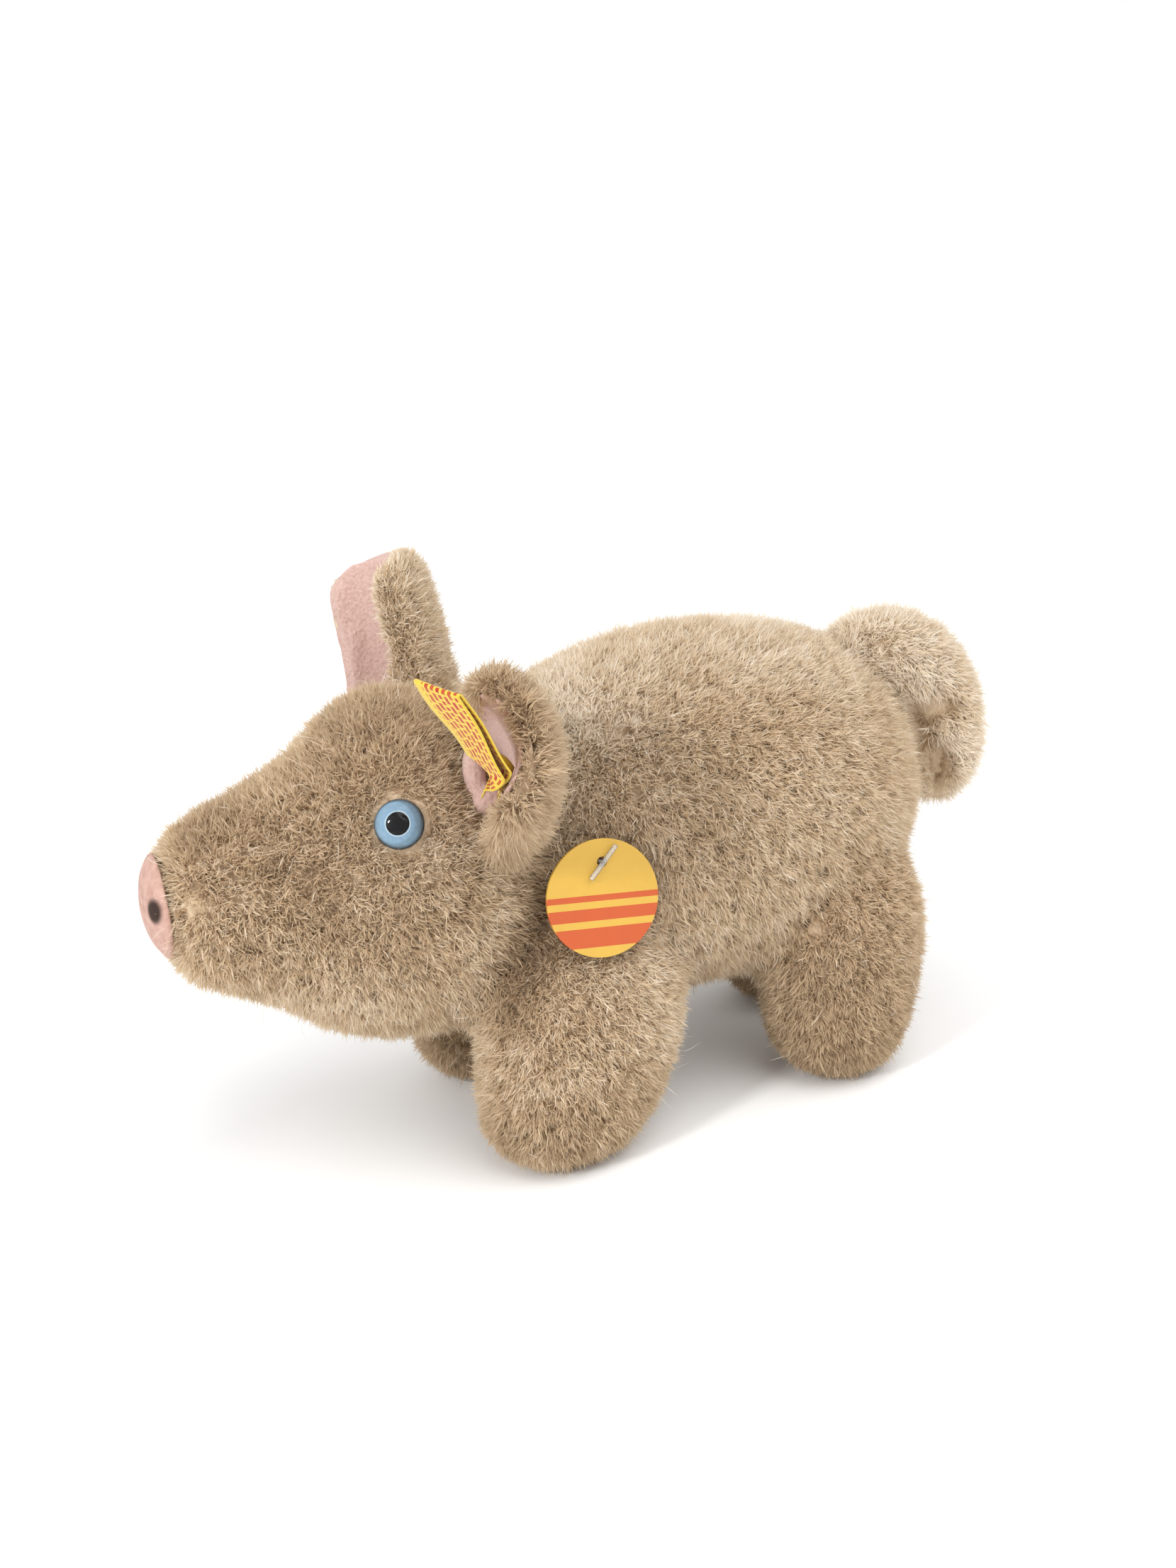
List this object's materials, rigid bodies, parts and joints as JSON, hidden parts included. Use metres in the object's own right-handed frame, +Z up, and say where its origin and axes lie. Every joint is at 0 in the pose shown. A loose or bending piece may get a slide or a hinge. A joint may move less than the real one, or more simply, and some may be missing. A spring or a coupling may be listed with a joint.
{
  "type": "plush pig",
  "caption": "Small standing stuffed pig in short pile with cupped ears, felt snout, glossy eyes, a curled tail, a swinging card on its shoulder and a ribbon riveted in one ear.",
  "frame": {"origin": "centre of the bounding box at the level of the soles", "axes": "+Z up, the pig looks along -Y, its own left side is +X"},
  "size_m": [0.1162, 0.2028, 0.1301],
  "materials": {
    "pile": "short dense beige pile, matte",
    "stuffing": "loose white fibre",
    "pink_felt": "matte brushed felt",
    "eye_lens": "clear polished dome",
    "iris": "pale blue paint",
    "black_plastic": "gloss black",
    "white_plastic": "moulded white",
    "card": "coated yellow and red card",
    "clear_plastic": "clear moulded nylon",
    "ribbon": "woven yellow ribbon",
    "brass": "polished brass"
  },
  "bodies": {
    "pig": {"body_plush": "pile", "head_plush": "pile", "front_left_leg_plush": "pile", "front_right_leg_plush": "pile", "rear_left_leg_plush": "pile", "rear_right_leg_plush": "pile", "tail_plush": "pile", "left_ear_plush": "pile", "right_ear_plush": "pile", "body_stuffing": "stuffing", "head_stuffing": "stuffing", "front_left_leg_stuffing": "stuffing", "front_right_leg_stuffing": "stuffing", "rear_left_leg_stuffing": "stuffing", "rear_right_leg_stuffing": "stuffing", "tail_stuffing": "stuffing", "left_ear_lining": "pink_felt", "right_ear_lining": "pink_felt", "snout_disc": "pink_felt", "left_eye_lens": "eye_lens", "right_eye_lens": "eye_lens", "left_eye_iris": "iris", "right_eye_iris": "iris", "left_eye_shank": "black_plastic", "right_eye_shank": "black_plastic", "left_eye_washer": "white_plastic", "right_eye_washer": "white_plastic", "tag_anchor": "clear_plastic", "ear_button": "brass", "ear_button_plate": "brass"},
    "fastener": {"tag_fastener": "clear_plastic"},
    "card": {"hang_tag": "card"},
    "flag": {"ear_flag": "ribbon"}
  },
  "joints": [
    {"name": "tag_lift", "type": "hinge", "parent": "pig", "child": "fastener", "pos_m": [0.02454, -0.01274, 0.0689], "axis": [0, -1, 0], "range_deg": [0, 30]},
    {"name": "tag_turn", "type": "hinge", "parent": "fastener", "child": "card", "pos_m": [0.02533, -0.01274, 0.06904], "axis": [0.9848, 0, 0.1736], "range_deg": [-30, 20]},
    {"name": "flag_turn", "type": "hinge", "parent": "pig", "child": "flag", "pos_m": [0.0437, -0.03703, 0.09435], "axis": [-0.486, -0.7327, 0.4764], "range_deg": [-20, 12]}
  ]
}
